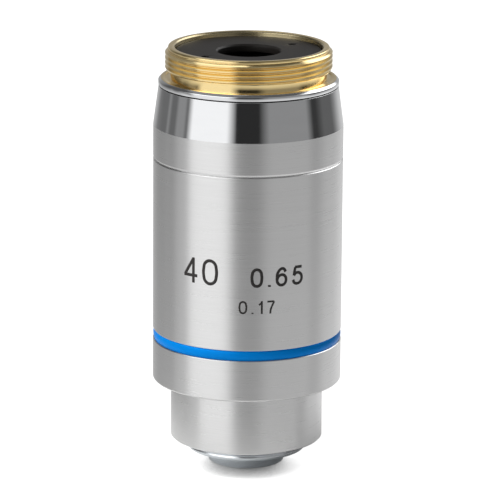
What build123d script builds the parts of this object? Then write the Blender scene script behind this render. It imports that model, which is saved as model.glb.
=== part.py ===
from build123d import *
from math import copysign, sqrt
import os

# A dry microscope objective with a spring-loaded nose, standing nose down with its thread up. Millimetres.
# The origin is the centre of the shoulder that seats on the microscope, and +Z runs up the optical axis.

# Optical distances
parfocal_distance = 60.0  # shoulder to specimen
working_distance = 0.6  # front of the tip to specimen

# Fits
fit_gap = 0.05  # radial, turned pieces that locate in one another
slide_gap = 0.05  # radial, the sprung carriage in its guide
screw_gap = 0.03  # radial, a screw in its hole
lens_gap = 0.03  # radial, a lens in its cell
seat_gap = 0.02  # a curved glass face above the edge that carries it
cut_overrun = 1.0  # how far a cutter runs past a wall

# Mounting thread, its pilot and the relief neck under it
thread_radius = 12.5  # outer radius of the 25 mm fine thread
thread_depth = 0.45
thread_length = 3.1
thread_lead_in = 0.25
pilot_height = 0.45
pilot_chamfer = 0.12
neck_depth = 0.8
neck_height = 1.2
rim_wall = 1.0
rim_chamfer = 0.2

# Shoulder flange
shoulder_width = 1.0
flange_height = 0.95
flange_chamfer = 0.35
relief_depth = 0.15
relief_margin = 0.1

# Rear stop ring, screwed into the mount
stop_thickness = 1.15
stop_recess = 0.72
stop_ledge = 1.05
stop_chamfer = 0.15
aperture_radius = 4.7
aperture_chamfer = 0.25
spanner_hole_radius = 0.6
spanner_hole_offset = 8.1
spanner_hole_angle = 37.0

# Upper sleeve: seam under the flange, polished cone, satin band
body_radius = 14.25
cone_rise = 0.8
cone_height = 5.9
cone_wall = 0.75
seam_height = 0.2
seam_depth = 0.3
band_height = 5.15
band_chamfer_height = 0.35
band_chamfer_depth = 0.15

# Main sleeve with the colour groove
sleeve_length = 34.25
sleeve_wall = 1.25
sleeve_chamfer = 0.25
sleeve_top_chamfer = 0.12
lip_height = 1.5
lip_gap = 0.15
groove_to_bottom = 6.35
groove_depth = 0.5
groove_chamfer = 0.1
colour_height = 1.5
colour_edge_drop = 0.22
colour_crown_drop = 0.03

# Guide tube, spigot and the room for the spring
spigot_length = 8.05
spigot_engagement = 4.0
spigot_chamfer = 0.2
spigot_bore_wall = 1.95
spigot_bore_step = 7.0
tube_wall = 1.4
tube_end_gap = 0.3
counterbore_step = 0.65
spring_length = 8.2
spring_wire = 1.0
spring_turns = 5.0
spring_wire_flat_count = 8
spring_wall_gap = 0.25

# Sprung carriage
travel = 2.5
carriage_flange_height = 2.0
parfocal_ring_height = 0.8
parfocal_ring_gap = 0.1
nose_wall = 1.6
nose_chamfer = 0.2

# Guide screw and its slot
guide_screw_drop = 9.0
guide_screw_radius = 1.0
guide_dog_radius = 0.6
guide_dog_depth = 1.0
guide_head_sink = 0.1
guide_slot_gap = 0.1
driver_slot_width = 0.35
driver_slot_depth = 0.4

# Front cap: tip, raised ring and cone, with the front lens
tip_radius = 6.3
tip_taper = 0.6
tip_height = 2.15
tip_chamfer = 0.1
cap_ring_radius = 9.15
cap_ring_undercut = 0.3
cap_ring_undercut_height = 0.45
cap_ring_bevel = 0.15
cap_ring_bevel_height = 0.3
cap_cone_height = 0.95
cap_seam = 0.4
cap_spigot_height = 2.75
cap_floor_height = 2.65
cap_lip = 0.25
cap_bore_height = 1.6
front_lens_radius = 2.15
front_lens_edge = 0.8
front_ledge = 0.75
front_curve_share = 1.16

# Meniscus lens and its cell
meniscus_share = 0.3655  # glass radius over the cells' outer radius
meniscus_cell_wall = 1.85
meniscus_floor_gap = 0.15
meniscus_ledge = 0.5
meniscus_bevel = 0.25
meniscus_edge = 0.5
meniscus_low_curve_share = 1.79
meniscus_high_curve_share = 1.278
meniscus_mouth_gap = 0.08
meniscus_air_gap = 0.97  # on the axis, up to the first pair

# Cells of the cemented pairs
ledge_height = 0.4
ledge_width = 0.6
keeper_width = 0.7
spacer_wall = 2.85
centring_room = 0.45
centring_screw_radius = 0.8
centring_screw_sink = 0.1
centring_screw_count = 3
pair_air_gap = 0.5  # on the axis, between the two pairs
lock_ring_height = 2.2
lock_ring_wall = 3.35
lock_ring_sink = 1.6
lock_slot_width = 1.2
lock_slot_depth = 0.8

# Each pair: glass radius as a share of the cells' outer radius, cell height, edges of crown and flint,
# and the curves as shares of the glass radius
pair_a_share = 0.5685
pair_a_cell_height = 5.1
pair_a_crown_edge = 0.6
pair_a_flint_edge = 2.85
pair_a_curve_shares = (1.607, -1.518, -5.0)
pair_b_share = 0.67
pair_b_cell_height = 5.8
pair_b_crown_edge = 0.8
pair_b_flint_edge = 3.3
pair_b_curve_shares = (2.12, -1.44, -6.0)
rear_share = 0.6294
rear_cell_height = 7.0
rear_crown_edge = 1.2
rear_flint_edge = 4.0
rear_curve_shares = (2.1, -2.58, 1.94)

# Heights that follow, from the shoulder down to the bottom of the fixed body
thread_low_z = neck_height
thread_top_z = thread_low_z + thread_length
rim_z = thread_top_z + pilot_height
stop_top_z = rim_z - stop_recess
stop_low_z = stop_top_z - stop_thickness
cone_top_z = -flange_height - seam_height
band_top_z = cone_top_z - cone_height
sleeve_top_z = band_top_z - band_height
sleeve_low_z = sleeve_top_z - sleeve_length
lip_top_z = sleeve_low_z + lip_height
colour_low_z = sleeve_low_z + groove_to_bottom
colour_top_z = colour_low_z + colour_height
tube_top_z = -flange_height - spigot_length
tube_low_z = lip_top_z + tube_end_gap
spigot_low_z = tube_top_z - spigot_engagement

# Heights of the carriage, down from the spring and up from the front
carriage_top_z = spigot_low_z - spring_length
carriage_stop_z = carriage_top_z - carriage_flange_height
tube_ledge_z = carriage_stop_z - parfocal_ring_height
guide_screw_z = tube_ledge_z - guide_screw_drop
front_z = working_distance - parfocal_distance
tip_top_z = front_z + tip_height
cap_crest_z = tip_top_z + cap_ring_undercut_height
cap_ring_top_z = cap_crest_z + cap_ring_bevel_height
nose_low_z = cap_ring_top_z + cap_cone_height
cap_top_z = nose_low_z + cap_spigot_height
cap_floor_z = front_z + cap_floor_height
lock_ring_low_z = carriage_top_z - lock_ring_sink - lock_ring_height
rear_cell_low_z = lock_ring_low_z - rear_cell_height

# Radii that follow, from the outside in
pilot_radius = thread_radius - thread_depth
neck_radius = thread_radius - neck_depth
flange_radius = thread_radius + shoulder_width
relief_radius = thread_radius + relief_margin
rim_bore = pilot_radius - rim_wall
light_bore = rim_bore - stop_ledge
stop_radius = rim_bore - fit_gap
cone_top_radius = body_radius - cone_rise
upper_bore = cone_top_radius - cone_wall
spigot_radius = upper_bore - fit_gap
sleeve_bore = body_radius - sleeve_wall
tube_radius = sleeve_bore - fit_gap
tube_bore = tube_radius - tube_wall
nose_radius = tube_bore - slide_gap
counterbore = tube_bore + counterbore_step
spigot_end_radius = counterbore - fit_gap
carriage_flange_radius = counterbore - slide_gap
spring_bore = spigot_end_radius - spigot_bore_wall
spring_radius = counterbore - spring_wall_gap - spring_wire / 2
nose_bore = nose_radius - nose_wall
cell_radius = nose_bore - fit_gap
groove_radius = body_radius - groove_depth
meniscus_radius = cell_radius * meniscus_share
meniscus_cell_radius = meniscus_radius + lens_gap + meniscus_cell_wall
pair_a_radius = cell_radius * pair_a_share
pair_b_radius = cell_radius * pair_b_share
pair_b_cell_radius = cell_radius - centring_room
rear_radius = cell_radius * rear_share


def turned(*points):
    # a ring turned on the lathe: an outline of (radius, height) corners spun about the optical axis
    outline = Polyline(*[(r, 0, z) for r, z in points], close=True)
    return revolve(make_face(outline), Axis.Z)


def sag(curve, r):
    # how far a spherical surface stands above its vertex at radius r, negative where it falls away
    return copysign(abs(curve) - sqrt(curve**2 - r**2), curve)


def surface(vertex_z, curve, r):
    # the spherical arc from the axis out to radius r
    return ThreePointArc(
        (0, 0, vertex_z), (r / 2, 0, vertex_z + sag(curve, r / 2)), (r, 0, vertex_z + sag(curve, r))
    )


def glass(radius, low_z, low_curve, high_z, high_curve):
    # a lens with ground edge: two spherical faces, given by the heights of their rims
    low = surface(low_z - sag(low_curve, radius), low_curve, radius)
    high = surface(high_z - sag(high_curve, radius), high_curve, radius)
    edge = Line(low @ 1, high @ 1)
    axis = Line(high @ 0, low @ 0)
    return revolve(make_face([low, edge, high, axis]), Axis.Z)


def pair_vertices(radius, crown_edge, flint_edge, curve_shares):
    # how far the outer glass faces of a cemented pair stand, on the axis, above the low face of its cell
    low_curve, _, high_curve = [share * radius for share in curve_shares]
    low = ledge_height + seat_gap - sag(low_curve, radius - ledge_width)
    high = low + sag(low_curve, radius) + crown_edge + flint_edge - sag(high_curve, radius)
    return low, high


# Heights of the lens stack: each pair keeps its air gap to the glass in front of it
meniscus_seat_z = cap_floor_z + meniscus_floor_gap + ledge_height
meniscus_high_curve = -meniscus_radius * meniscus_high_curve_share
meniscus_vertex_z = meniscus_seat_z + meniscus_edge - sag(meniscus_high_curve, meniscus_radius)
pair_a_low_vertex, pair_a_high_vertex = pair_vertices(
    pair_a_radius, pair_a_crown_edge, pair_a_flint_edge, pair_a_curve_shares
)
pair_b_low_vertex, pair_b_high_vertex = pair_vertices(
    pair_b_radius, pair_b_crown_edge, pair_b_flint_edge, pair_b_curve_shares
)
meniscus_cell_top_z = meniscus_vertex_z + meniscus_air_gap - pair_a_low_vertex
pair_a_top_z = meniscus_cell_top_z + pair_a_cell_height
spacer_a_top_z = meniscus_cell_top_z + pair_a_high_vertex + pair_air_gap - pair_b_low_vertex
pair_b_top_z = spacer_a_top_z + pair_b_cell_height
centring_z = (spacer_a_top_z + pair_b_top_z) / 2


def radial_pin(radius, inner, outer, z):
    # a cylinder that points out along +X between two radii
    return Plane(origin=(inner, 0, z), z_dir=(1, 0, 0)) * extrude(Circle(radius), outer - inner)


def driver_slot(outer, z, length):
    # the screwdriver slot across the outer end of a radial screw
    cut = Box(driver_slot_depth * 2, length, driver_slot_width)
    return Pos(outer, 0, z) * cut


def thread_mount():
    return turned(
        (rim_bore + rim_chamfer, rim_z),
        (pilot_radius - pilot_chamfer, rim_z),
        (pilot_radius, rim_z - pilot_chamfer),
        (pilot_radius, thread_top_z),
        (thread_radius, thread_top_z - thread_lead_in),
        (thread_radius, thread_low_z + thread_lead_in),
        (neck_radius, thread_low_z),
        (neck_radius, -relief_depth),
        (relief_radius, -relief_depth),
        (relief_radius, 0),
        (flange_radius - flange_chamfer, 0),
        (flange_radius, -flange_chamfer),
        (flange_radius, -flange_height),
        (spigot_radius, -flange_height),
        (spigot_radius, tube_top_z),
        (spigot_end_radius, tube_top_z),
        (spigot_end_radius, spigot_low_z + spigot_chamfer),
        (spigot_end_radius - spigot_chamfer, spigot_low_z),
        (spring_bore, spigot_low_z),
        (spring_bore, spigot_low_z + spigot_bore_step),
        (light_bore, spigot_low_z + spigot_bore_step),
        (light_bore, stop_low_z),
        (rim_bore, stop_low_z),
        (rim_bore, rim_z - rim_chamfer),
    )


def rear_stop_ring():
    ring = turned(
        (aperture_radius, stop_low_z),
        (stop_radius, stop_low_z),
        (stop_radius, stop_top_z - stop_chamfer),
        (stop_radius - stop_chamfer, stop_top_z),
        (aperture_radius + aperture_chamfer, stop_top_z),
        (aperture_radius, stop_top_z - aperture_chamfer),
    )
    hole = Pos(spanner_hole_offset, 0, (stop_low_z + stop_top_z) / 2) * Cylinder(
        spanner_hole_radius, stop_thickness + cut_overrun
    )
    for turn in (0, 180):
        ring -= Rot(0, 0, spanner_hole_angle + turn) * hole
    return ring


def upper_sleeve():
    return turned(
        (upper_bore, -flange_height),
        (cone_top_radius - seam_depth, -flange_height),
        (cone_top_radius - seam_depth, cone_top_z),
        (cone_top_radius, cone_top_z),
        (body_radius, band_top_z),
        (body_radius, sleeve_top_z + band_chamfer_height),
        (body_radius - band_chamfer_depth, sleeve_top_z),
        (sleeve_bore, sleeve_top_z),
        (sleeve_bore, tube_top_z),
        (upper_bore, tube_top_z),
    )


def main_sleeve():
    return turned(
        (sleeve_bore, sleeve_top_z),
        (body_radius - sleeve_top_chamfer, sleeve_top_z),
        (body_radius, sleeve_top_z - sleeve_top_chamfer),
        (body_radius, colour_top_z + groove_chamfer),
        (body_radius - groove_chamfer, colour_top_z),
        (groove_radius, colour_top_z),
        (groove_radius, colour_low_z),
        (body_radius - groove_chamfer, colour_low_z),
        (body_radius, colour_low_z - groove_chamfer),
        (body_radius, sleeve_low_z + sleeve_chamfer),
        (body_radius - sleeve_chamfer, sleeve_low_z),
        (nose_radius + lip_gap, sleeve_low_z),
        (nose_radius + lip_gap, lip_top_z),
        (sleeve_bore, lip_top_z),
    )


def colour_band():
    inner = groove_radius + fit_gap
    edge = body_radius - colour_edge_drop
    crown = ThreePointArc(
        (edge, 0, colour_low_z),
        (body_radius - colour_crown_drop, 0, (colour_low_z + colour_top_z) / 2),
        (edge, 0, colour_top_z),
    )
    rest = Polyline(
        (edge, 0, colour_top_z), (inner, 0, colour_top_z), (inner, 0, colour_low_z), (edge, 0, colour_low_z)
    )
    return revolve(make_face([crown, rest]), Axis.Z)


def guide_tube():
    tube = turned(
        (counterbore, tube_top_z),
        (tube_radius, tube_top_z),
        (tube_radius, tube_low_z),
        (tube_bore, tube_low_z),
        (tube_bore, tube_ledge_z),
        (counterbore, tube_ledge_z),
    )
    return tube - radial_pin(guide_screw_radius + screw_gap, nose_bore, body_radius, guide_screw_z)


def parfocal_ring():
    return turned(
        (nose_radius + parfocal_ring_gap, tube_ledge_z),
        (counterbore - fit_gap, tube_ledge_z),
        (counterbore - fit_gap, carriage_stop_z),
        (nose_radius + parfocal_ring_gap, carriage_stop_z),
    )


def guide_screw():
    head_outer = tube_radius - guide_head_sink
    dog = radial_pin(guide_dog_radius, nose_radius - guide_dog_depth, tube_bore, guide_screw_z)
    shank = radial_pin(guide_screw_radius, tube_bore, head_outer, guide_screw_z)
    cut = driver_slot(head_outer, guide_screw_z, guide_screw_radius * 2 + cut_overrun)
    return dog + shank - cut


def return_spring():
    # a wire wound on a helix, its round section drawn with a few flats, its ends ground flat on the seats
    wound = spring_length + spring_wire
    pitch = (wound - spring_wire) / spring_turns
    path = Helix(pitch, wound, spring_radius, center=(0, 0, carriage_top_z - spring_wire / 2))
    across = Plane(origin=path @ 0, z_dir=path % 0)
    section = across * RegularPolygon(spring_wire / 2, spring_wire_flat_count)
    wire = sweep(section, path=path)
    room = Cylinder(counterbore, spring_length, align=(Align.CENTER, Align.CENTER, Align.MIN))
    return wire & Pos(0, 0, carriage_top_z) * room


def nose_barrel():
    barrel = turned(
        (nose_bore, nose_low_z),
        (nose_radius - nose_chamfer, nose_low_z),
        (nose_radius, nose_low_z + nose_chamfer),
        (nose_radius, carriage_stop_z),
        (carriage_flange_radius, carriage_stop_z),
        (carriage_flange_radius, carriage_top_z),
        (nose_bore, carriage_top_z),
    )
    slot_half_width = guide_dog_radius + guide_slot_gap
    slot_top = guide_screw_z + slot_half_width
    slot_low = guide_screw_z - slot_half_width - travel
    slot_depth = nose_wall + cut_overrun
    slot = Pos(nose_bore + slot_depth / 2, 0, (slot_top + slot_low) / 2) * Box(
        slot_depth + cut_overrun, slot_half_width * 2, slot_top - slot_low
    )
    barrel -= slot
    hole = radial_pin(centring_screw_radius + screw_gap, cell_radius - cut_overrun, body_radius, centring_z)
    for turn in range(centring_screw_count):
        barrel -= Rot(0, 0, 360 / centring_screw_count * (turn + 1 / 2)) * hole
    return barrel


def front_cap():
    tip_low_radius = tip_radius - tip_taper
    lens_bore = front_lens_radius + lens_gap
    cell_bore = meniscus_cell_radius + fit_gap
    floor_edge = meniscus_radius + lens_gap
    opening = front_lens_radius - front_ledge
    return turned(
        (opening + cap_lip, front_z),
        (tip_low_radius - tip_chamfer, front_z),
        (tip_low_radius, front_z + tip_chamfer),
        (tip_radius, tip_top_z),
        (cap_ring_radius - cap_ring_undercut, tip_top_z),
        (cap_ring_radius, cap_crest_z),
        (cap_ring_radius - cap_ring_bevel, cap_ring_top_z),
        (nose_radius - cap_seam, nose_low_z),
        (cell_radius, nose_low_z),
        (cell_radius, cap_top_z),
        (cell_bore, cap_top_z),
        (cell_bore, cap_floor_z),
        (floor_edge, cap_floor_z),
        (lens_bore, front_z + cap_lip + cap_bore_height),
        (lens_bore, front_z + cap_lip),
        (opening, front_z + cap_lip),
    )


def front_lens():
    # flat towards the specimen, strongly domed behind
    seat = front_z + cap_lip
    shoulder = seat + front_lens_edge
    curve = -front_lens_radius * front_curve_share
    dome = surface(shoulder - sag(curve, front_lens_radius), curve, front_lens_radius)
    rest = Polyline(dome @ 1, (front_lens_radius, 0, seat), (0, 0, seat), dome @ 0)
    return revolve(make_face([dome, rest]), Axis.Z)


def meniscus_cell():
    low_z = cap_floor_z + meniscus_floor_gap
    lens_bore = meniscus_radius + lens_gap
    mouth = pair_a_radius - ledge_width + meniscus_mouth_gap
    return turned(
        (meniscus_radius - meniscus_ledge, low_z),
        (meniscus_cell_radius, low_z),
        (meniscus_cell_radius, cap_top_z),
        (cell_radius, cap_top_z),
        (cell_radius, meniscus_cell_top_z),
        (mouth, meniscus_cell_top_z),
        (lens_bore, meniscus_seat_z + meniscus_edge * 2),
        (lens_bore, meniscus_seat_z),
        (meniscus_radius - meniscus_ledge, meniscus_seat_z),
    )


def meniscus_lens():
    # hollow towards the specimen, with a flat bevel that lies on the ledge of its cell
    seat = meniscus_seat_z
    hollow_radius = meniscus_radius - meniscus_bevel
    low_curve = -hollow_radius * meniscus_low_curve_share
    shoulder = seat + meniscus_edge
    hollow = surface(seat - sag(low_curve, hollow_radius), low_curve, hollow_radius)
    dome = surface(meniscus_vertex_z, meniscus_high_curve, meniscus_radius)
    bevel = Polyline(hollow @ 1, (meniscus_radius, 0, seat), dome @ 1)
    return revolve(make_face([hollow, bevel, dome, Line(dome @ 0, hollow @ 0)]), Axis.Z)


def cemented_pair(radius, cell_low_z, cell_top_z, crown_edge, flint_edge, curve_shares, cell_outer):
    # a cell with a ledge, the crown and flint cemented in it, and the ring that keeps them down
    low_curve, middle_curve, high_curve = [share * radius for share in curve_shares]
    ledge_top = cell_low_z + ledge_height
    ledge_radius = radius - ledge_width
    bore = radius + lens_gap
    crown_low = ledge_top + seat_gap - sag(low_curve, ledge_radius) + sag(low_curve, radius)
    crown_high = crown_low + crown_edge
    flint_high = crown_high + flint_edge
    crown = glass(radius, crown_low, low_curve, crown_high, middle_curve)
    flint = glass(radius, crown_high, middle_curve, flint_high, high_curve)
    cell = turned(
        (ledge_radius, cell_low_z),
        (cell_outer, cell_low_z),
        (cell_outer, cell_top_z),
        (bore, cell_top_z),
        (bore, ledge_top),
        (ledge_radius, ledge_top),
    )
    keeper_inner = radius - keeper_width
    falling = max(0, sag(high_curve, keeper_inner) - sag(high_curve, radius))
    keeper_low = flint_high + falling + seat_gap
    keeper = turned(
        (keeper_inner, keeper_low),
        (bore - lens_gap, keeper_low),
        (bore - lens_gap, cell_top_z),
        (keeper_inner, cell_top_z),
    )
    return cell, crown, flint, keeper


def spacer(low_z, top_z):
    inner = cell_radius - spacer_wall
    return turned((inner, low_z), (cell_radius, low_z), (cell_radius, top_z), (inner, top_z))


def centring_screws():
    # three grub screws through the carriage wall that push the second pair's cell on to the axis
    tip = pair_b_cell_radius + seat_gap
    outer = nose_radius - centring_screw_sink
    pin = radial_pin(centring_screw_radius, tip, outer, centring_z)
    screw = pin - driver_slot(outer, centring_z, centring_screw_radius * 2 + cut_overrun)
    turns = [360 / centring_screw_count * (turn + 1 / 2) for turn in range(centring_screw_count)]
    return Compound(children=[Rot(0, 0, turn) * screw for turn in turns])


def stack_lock_ring():
    low_z = lock_ring_low_z
    top_z = low_z + lock_ring_height
    inner = cell_radius - lock_ring_wall
    ring = turned((inner, low_z), (cell_radius, low_z), (cell_radius, top_z), (inner, top_z))
    slot = Box(cell_radius * 2 + cut_overrun, lock_slot_width, lock_slot_depth * 2)
    return ring - Pos(0, 0, top_z) * slot


pair_a = cemented_pair(
    pair_a_radius,
    meniscus_cell_top_z,
    pair_a_top_z,
    pair_a_crown_edge,
    pair_a_flint_edge,
    pair_a_curve_shares,
    cell_radius,
)
pair_b = cemented_pair(
    pair_b_radius,
    spacer_a_top_z,
    pair_b_top_z,
    pair_b_crown_edge,
    pair_b_flint_edge,
    pair_b_curve_shares,
    pair_b_cell_radius,
)
rear_pair = cemented_pair(
    rear_radius,
    rear_cell_low_z,
    lock_ring_low_z,
    rear_crown_edge,
    rear_flint_edge,
    rear_curve_shares,
    cell_radius,
)

parts = {
    "thread_mount": thread_mount(),
    "rear_stop_ring": rear_stop_ring(),
    "upper_sleeve": upper_sleeve(),
    "main_sleeve": main_sleeve(),
    "colour_band": colour_band(),
    "guide_tube": guide_tube(),
    "parfocal_ring": parfocal_ring(),
    "guide_screw": guide_screw(),
    "return_spring": return_spring(),
    "nose_barrel": nose_barrel(),
    "front_cap": front_cap(),
    "front_lens": front_lens(),
    "meniscus_cell": meniscus_cell(),
    "meniscus_lens": meniscus_lens(),
    "spacer_a": spacer(pair_a_top_z, spacer_a_top_z),
    "centring_screws": centring_screws(),
    "spacer_b": spacer(pair_b_top_z, rear_cell_low_z),
    "stack_lock_ring": stack_lock_ring(),
}
for name, pair in (("doublet_a", pair_a), ("doublet_b", pair_b), ("rear", rear_pair)):
    for role, solid in zip(("cell", "crown", "flint", "keeper"), pair):
        parts[f"{name}_{role}"] = solid

os.makedirs("parts", exist_ok=True)
for node, solid in parts.items():
    export_step(solid, f"parts/{node}.step")
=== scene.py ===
from math import cos, hypot, pi, radians, sin, sqrt

import bpy
from mathutils import Matrix, Vector


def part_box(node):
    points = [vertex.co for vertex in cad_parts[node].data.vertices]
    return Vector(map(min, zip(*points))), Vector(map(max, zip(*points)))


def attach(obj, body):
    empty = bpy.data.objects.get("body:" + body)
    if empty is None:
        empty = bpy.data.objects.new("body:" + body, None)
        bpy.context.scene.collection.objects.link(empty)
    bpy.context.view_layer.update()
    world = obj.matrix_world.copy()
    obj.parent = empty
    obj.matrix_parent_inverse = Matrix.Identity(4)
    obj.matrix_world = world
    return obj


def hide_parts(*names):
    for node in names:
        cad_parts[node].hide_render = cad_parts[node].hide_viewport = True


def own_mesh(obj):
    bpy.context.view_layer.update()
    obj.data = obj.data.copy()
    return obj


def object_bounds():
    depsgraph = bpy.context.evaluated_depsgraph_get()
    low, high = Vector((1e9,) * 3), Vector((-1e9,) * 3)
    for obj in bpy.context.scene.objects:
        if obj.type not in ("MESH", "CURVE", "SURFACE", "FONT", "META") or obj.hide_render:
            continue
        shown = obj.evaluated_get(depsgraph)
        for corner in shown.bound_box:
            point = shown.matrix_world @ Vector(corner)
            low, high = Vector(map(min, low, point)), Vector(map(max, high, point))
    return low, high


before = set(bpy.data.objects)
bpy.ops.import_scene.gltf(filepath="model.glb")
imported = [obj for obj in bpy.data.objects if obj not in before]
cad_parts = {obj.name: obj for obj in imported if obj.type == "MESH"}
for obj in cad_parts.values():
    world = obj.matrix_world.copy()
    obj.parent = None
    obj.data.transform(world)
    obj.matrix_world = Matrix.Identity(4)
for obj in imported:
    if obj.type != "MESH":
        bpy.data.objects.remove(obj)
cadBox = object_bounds()
mm = 0.001
weld = 1e-7  # metres under which two points count as one
print("frame loaded with", len(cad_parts), "nodes")


# Finishes. Colours are written as sRGB hex and turned to linear by one function.

def linear(hexColour):
    channels = [int(hexColour[i:i + 2], 16) / 255 for i in (1, 3, 5)]
    return [c / 12.92 if c <= 0.04045 else ((c + 0.055) / 1.055) ** 2.4 for c in channels] + [1.0]


def addNode(tree, kind, inputs=None, **settings):
    # adds a node with its settings; an input is a value or the socket that feeds it
    node = tree.nodes.new(kind)
    for key, value in settings.items():
        setattr(node, key, value)
    for socket, value in (inputs or {}).items():
        if isinstance(value, bpy.types.NodeSocket):
            tree.links.new(value, node.inputs[socket])
        else:
            node.inputs[socket].default_value = value
    return node


def startMaterial(name):
    material = bpy.data.materials.new(name)
    material.use_nodes = True
    tree = material.node_tree
    return material, tree, tree.nodes["Principled BSDF"]


# Tool marks of the lathe: turnShare is how much they change on the way round, contrast the part of the noise
# that is used, and shineTurn the quarter turn that draws the shine out across the marks.
toolMarks = {"turnShare": 1.5, "detail": 2.0, "coarseness": 0.6, "contrast": (0.3, 0.7), "shineTurn": 0.25}


def aroundAxis(tree, spacing):
    # a pattern place that runs in lines round the optical axis, spacing mm apart along or across it
    place = addNode(tree, "ShaderNodeTexCoord").outputs["Object"]
    split = addNode(tree, "ShaderNodeSeparateXYZ", {0: place})
    flat = addNode(tree, "ShaderNodeCombineXYZ", {0: split.outputs[0], 1: split.outputs[1]}).outputs[0]
    radius = addNode(tree, "ShaderNodeVectorMath", {0: flat}, operation="LENGTH").outputs["Value"]
    along = addNode(tree, "ShaderNodeMath", {0: split.outputs[2], 1: radius}, operation="ADD").outputs[0]
    lines = addNode(tree, "ShaderNodeMath", {0: along, 1: spacing * mm}, operation="DIVIDE").outputs[0]
    unit = addNode(tree, "ShaderNodeVectorMath", {0: flat}, operation="NORMALIZE").outputs[0]
    turn = addNode(tree, "ShaderNodeVectorMath", {0: unit, 3: toolMarks["turnShare"]}, operation="SCALE")
    turnSplit = addNode(tree, "ShaderNodeSeparateXYZ", {0: turn.outputs[0]})
    return addNode(tree, "ShaderNodeCombineXYZ", {0: turnSplit.outputs[0], 1: turnSplit.outputs[1],
                                                  2: lines}).outputs[0]


def linkTurningMarks(tree, shader, spacing, depth, roughness):
    # fine rings that tilt the surface a little and vary its roughness
    marks = addNode(tree, "ShaderNodeTexNoise", {
        "Vector": aroundAxis(tree, spacing), "Scale": 1.0, "Detail": toolMarks["detail"],
        "Roughness": toolMarks["coarseness"]}).outputs["Fac"]
    bump = addNode(tree, "ShaderNodeBump", {"Height": marks, "Distance": depth * mm})
    spread = addNode(tree, "ShaderNodeMapRange", {
        "Value": marks, "From Min": toolMarks["contrast"][0], "From Max": toolMarks["contrast"][1],
        "To Min": roughness[0], "To Max": roughness[1]})
    tree.links.new(bump.outputs["Normal"], shader.inputs["Normal"])
    tree.links.new(spread.outputs["Result"], shader.inputs["Roughness"])
    return marks


def turnedMetal(name, colours, spacing, depth, roughness, anisotropy=0.0):
    # a metal cut on the lathe: colour drifts between two hex values along the tool marks
    material, tree, shader = startMaterial(name)
    shader.inputs["Metallic"].default_value = 1.0
    shader.inputs["Anisotropic"].default_value = anisotropy
    shader.inputs["Anisotropic Rotation"].default_value = toolMarks["shineTurn"]
    marks = linkTurningMarks(tree, shader, spacing, depth, roughness)
    tone = addNode(tree, "ShaderNodeMix", {0: marks, 6: linear(colours[0]), 7: linear(colours[1])},
                   data_type="RGBA")
    tree.links.new(tone.outputs[2], shader.inputs["Base Color"])
    if anisotropy:
        tangent = addNode(tree, "ShaderNodeTangent", direction_type="RADIAL", axis="Z")
        tree.links.new(tangent.outputs[0], shader.inputs["Tangent"])
    return material


# Grain of gritty finishes. patchShare is the scale of the colour's drift as a share of the grain's.
grit = {"detail": 3.0, "coarseness": 0.6, "patchShare": 0.08, "patchDetail": 2.0}


def gritMaterial(name, colours, grain, depth, roughness, metallic=0.0, ior=1.5, shine=0.5):
    # a fine all-over grain, as etched, drawn, oxidised or sprayed surfaces have
    material, tree, shader = startMaterial(name)
    place = addNode(tree, "ShaderNodeTexCoord").outputs["Object"]
    grains = addNode(tree, "ShaderNodeTexNoise", {
        "Vector": place, "Scale": 1 / (grain * mm), "Detail": grit["detail"],
        "Roughness": grit["coarseness"]}).outputs["Fac"]
    patches = addNode(tree, "ShaderNodeTexNoise", {
        "Vector": place, "Scale": grit["patchShare"] / (grain * mm),
        "Detail": grit["patchDetail"]}).outputs["Fac"]
    tone = addNode(tree, "ShaderNodeMix", {0: patches, 6: linear(colours[0]), 7: linear(colours[1])},
                   data_type="RGBA")
    bump = addNode(tree, "ShaderNodeBump", {"Height": grains, "Distance": depth * mm})
    spread = addNode(tree, "ShaderNodeMapRange", {"Value": grains, "To Min": roughness[0],
                                                  "To Max": roughness[1]})
    tree.links.new(tone.outputs[2], shader.inputs["Base Color"])
    tree.links.new(bump.outputs["Normal"], shader.inputs["Normal"])
    tree.links.new(spread.outputs["Result"], shader.inputs["Roughness"])
    shader.inputs["Metallic"].default_value = metallic
    shader.inputs["Specular IOR Level"].default_value = shine
    if not metallic:
        shader.inputs["IOR"].default_value = ior
    return material


# Polished glass and its quarter-wave coat.
polish = {"scale": 300.0, "detail": 1.0, "roughest": 0.02, "coatIor": 1.38}


def coatedGlass(name, tint, ior, coatThickness):
    # optical glass, whose coat leaves a faint purple or green reflection
    material, tree, shader = startMaterial(name)
    place = addNode(tree, "ShaderNodeTexCoord").outputs["Object"]
    haze = addNode(tree, "ShaderNodeTexNoise", {"Vector": place, "Scale": polish["scale"],
                                                "Detail": polish["detail"]}).outputs["Fac"]
    spread = addNode(tree, "ShaderNodeMapRange", {"Value": haze, "To Min": 0.0, "To Max": polish["roughest"]})
    tree.links.new(spread.outputs["Result"], shader.inputs["Roughness"])
    shader.inputs["Base Color"].default_value = linear(tint)
    shader.inputs["Transmission Weight"].default_value = 1.0
    shader.inputs["IOR"].default_value = ior
    shader.inputs["Thin Film Thickness"].default_value = coatThickness
    shader.inputs["Thin Film IOR"].default_value = polish["coatIor"]
    return material


# Turned brass: warm gold, with tool rings that break its shine in to short arcs.
brassTurned = turnedMetal("brassTurned", ("#F2D699", "#F8E2A9"), spacing=0.09, depth=0.001,
                          roughness=(0.1, 0.17), anisotropy=0.3)
# Bored brass inside the rim: the same metal painted darker, duller and browner, as painted shade of the rim's
# hollow.
brassPaintedShade = turnedMetal("brassPaintedShade", ("#BBAE8C", "#C5B894"), spacing=0.09, depth=0.0015,
                          roughness=(0.2, 0.3))
# Nickel over the brass rim of the mount: cooler and a little sharper than the brass.
nickelPlate = turnedMetal("nickelPlate", ("#DCDDDF", "#E9EAEB"), spacing=0.12, depth=0.0005,
                          roughness=(0.08, 0.14))
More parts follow.
